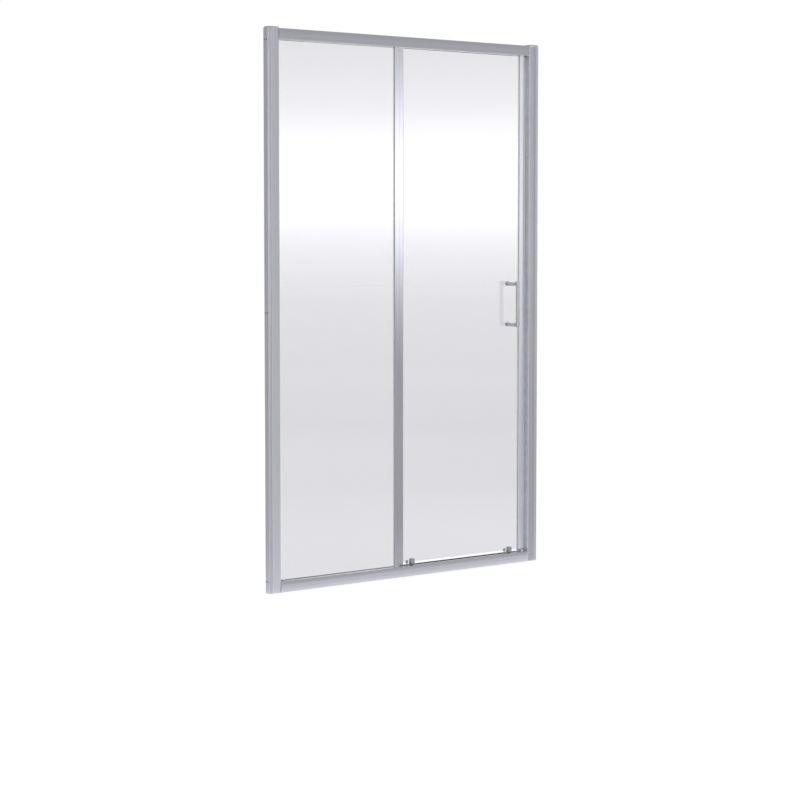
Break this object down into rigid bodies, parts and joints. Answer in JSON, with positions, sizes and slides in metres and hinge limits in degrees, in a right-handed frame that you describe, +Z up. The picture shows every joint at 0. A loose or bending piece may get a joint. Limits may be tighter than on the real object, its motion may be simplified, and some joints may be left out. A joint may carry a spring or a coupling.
{
  "type": "sliding shower door",
  "caption": "Framed sliding shower door for an alcove: a fixed glass pane, a glass door that rolls behind it with a bar handle, and an adjustable aluminium frame.",
  "frame": {"origin": "centre of the flat underside of the sill, midway between the walls", "axes": "+Z up; +X from the fixed pane's wall towards the closing jamb; -Y outside, +Y the shower side"},
  "size_m": [1.155, 0.069, 1.85],
  "materials": {
    "satin_aluminium": "satin",
    "clear_glass": "polished",
    "grey_gasket": "matte",
    "pale_seal": "matte",
    "grey_plastic": "matte",
    "white_nylon": "matte",
    "black_rubber": "matte",
    "handle_metal": "satin",
    "steel": "satin"
  },
  "bodies": {
    "frame": {"left_wall_channel": "satin_aluminium", "right_wall_channel": "satin_aluminium", "left_post": "satin_aluminium", "right_post": "satin_aluminium", "left_post_cap": "grey_plastic", "right_post_cap": "grey_plastic", "head_rail": "satin_aluminium", "sill": "satin_aluminium", "fixed_glass": "clear_glass", "fixed_stile": "satin_aluminium", "fixed_stile_gasket": "grey_gasket", "post_gasket": "grey_gasket", "head_gasket": "grey_gasket", "sill_gasket": "grey_gasket", "head_infill_strip": "satin_aluminium", "sill_infill_strip": "satin_aluminium", "jamb_magnet_strip": "pale_seal", "corner_screws": "steel", "post_fixing_screws": "steel", "screw_covers": "grey_plastic", "door_stop_blocks": "grey_plastic", "door_stop_buffers": "black_rubber", "door_stop_screws": "steel"},
    "door": {"door_glass": "clear_glass", "closing_stile": "satin_aluminium", "overlap_stile": "satin_aluminium", "closing_stile_gasket": "grey_gasket", "overlap_stile_gasket": "grey_gasket", "door_magnet_seal": "pale_seal", "overlap_fin_seal": "pale_seal", "stile_end_plugs": "grey_plastic", "handle_bar": "handle_metal", "handle_standoffs": "handle_metal", "handle_washers": "grey_gasket", "handle_knobs": "handle_metal", "handle_bolts": "steel", "left_carriage": "steel", "right_carriage": "steel", "carriage_axles": "steel", "carriage_clamp_screws": "steel", "carriage_bushes": "white_nylon", "guide_bushes": "white_nylon", "left_guide_bracket": "grey_plastic", "right_guide_bracket": "grey_plastic", "guide_clamp_pads": "grey_plastic", "guide_clamp_screws": "steel", "left_release_spring": "steel", "right_release_spring": "steel"},
    "left_plunger": {"left_release_plunger": "steel", "left_release_button": "grey_plastic", "left_guide_axle": "steel"},
    "left_guide_wheel": {"left_guide_wheel": "white_nylon"},
    "right_plunger": {"right_release_plunger": "steel", "right_release_button": "grey_plastic", "right_guide_axle": "steel"},
    "right_guide_wheel": {"right_guide_wheel": "white_nylon"},
    "top_wheel_left_rear": {"top_wheel_left_rear": "white_nylon"},
    "top_wheel_left_lead": {"top_wheel_left_lead": "white_nylon"},
    "top_wheel_right_rear": {"top_wheel_right_rear": "white_nylon"},
    "top_wheel_right_lead": {"top_wheel_right_lead": "white_nylon"}
  },
  "joints": [
    {"name": "door_slide", "type": "slide", "parent": "frame", "child": "door", "axis": [-1, 0, 0], "range_m": [0, 0.47]},
    {"name": "top_wheel_left_rear_roll", "type": "hinge", "parent": "door", "child": "top_wheel_left_rear", "pos_m": [0.0078, 0.014, 1.8246], "axis": [0, 1, 0], "range_deg": [-3000, 0]},
    {"name": "top_wheel_left_lead_roll", "type": "hinge", "parent": "door", "child": "top_wheel_left_lead", "pos_m": [0.0312, 0.014, 1.8246], "axis": [0, 1, 0], "range_deg": [-3000, 0]},
    {"name": "top_wheel_right_rear_roll", "type": "hinge", "parent": "door", "child": "top_wheel_right_rear", "pos_m": [0.4473, 0.014, 1.8246], "axis": [0, 1, 0], "range_deg": [-3000, 0]},
    {"name": "top_wheel_right_lead_roll", "type": "hinge", "parent": "door", "child": "top_wheel_right_lead", "pos_m": [0.4707, 0.014, 1.8246], "axis": [0, 1, 0], "range_deg": [-3000, 0]},
    {"name": "left_release", "type": "slide", "parent": "door", "child": "left_plunger", "axis": [0, 0, -1], "range_m": [0, 0.0035], "stiffness_N_per_m": 500, "springref_m": -0.004, "deforming": ["left_release_spring"]},
    {"name": "left_guide_wheel_roll", "type": "hinge", "parent": "left_plunger", "child": "left_guide_wheel", "pos_m": [0.008, 0.014, 0.0239], "axis": [0, 1, 0], "range_deg": [0, 4150]},
    {"name": "right_release", "type": "slide", "parent": "door", "child": "right_plunger", "axis": [0, 0, -1], "range_m": [0, 0.0035], "stiffness_N_per_m": 500, "springref_m": -0.004, "deforming": ["right_release_spring"]},
    {"name": "right_guide_wheel_roll", "type": "hinge", "parent": "right_plunger", "child": "right_guide_wheel", "pos_m": [0.4475, 0.014, 0.0239], "axis": [0, 1, 0], "range_deg": [0, 4150]}
  ],
  "couplings": [
    {"joint": "top_wheel_left_rear_roll", "follows": "door_slide", "rad_per_m": -111.11},
    {"joint": "top_wheel_left_lead_roll", "follows": "door_slide", "rad_per_m": -111.11},
    {"joint": "top_wheel_right_rear_roll", "follows": "door_slide", "rad_per_m": -111.11},
    {"joint": "top_wheel_right_lead_roll", "follows": "door_slide", "rad_per_m": -111.11},
    {"joint": "left_guide_wheel_roll", "follows": "door_slide", "rad_per_m": 153.85},
    {"joint": "right_guide_wheel_roll", "follows": "door_slide", "rad_per_m": 153.85}
  ]
}
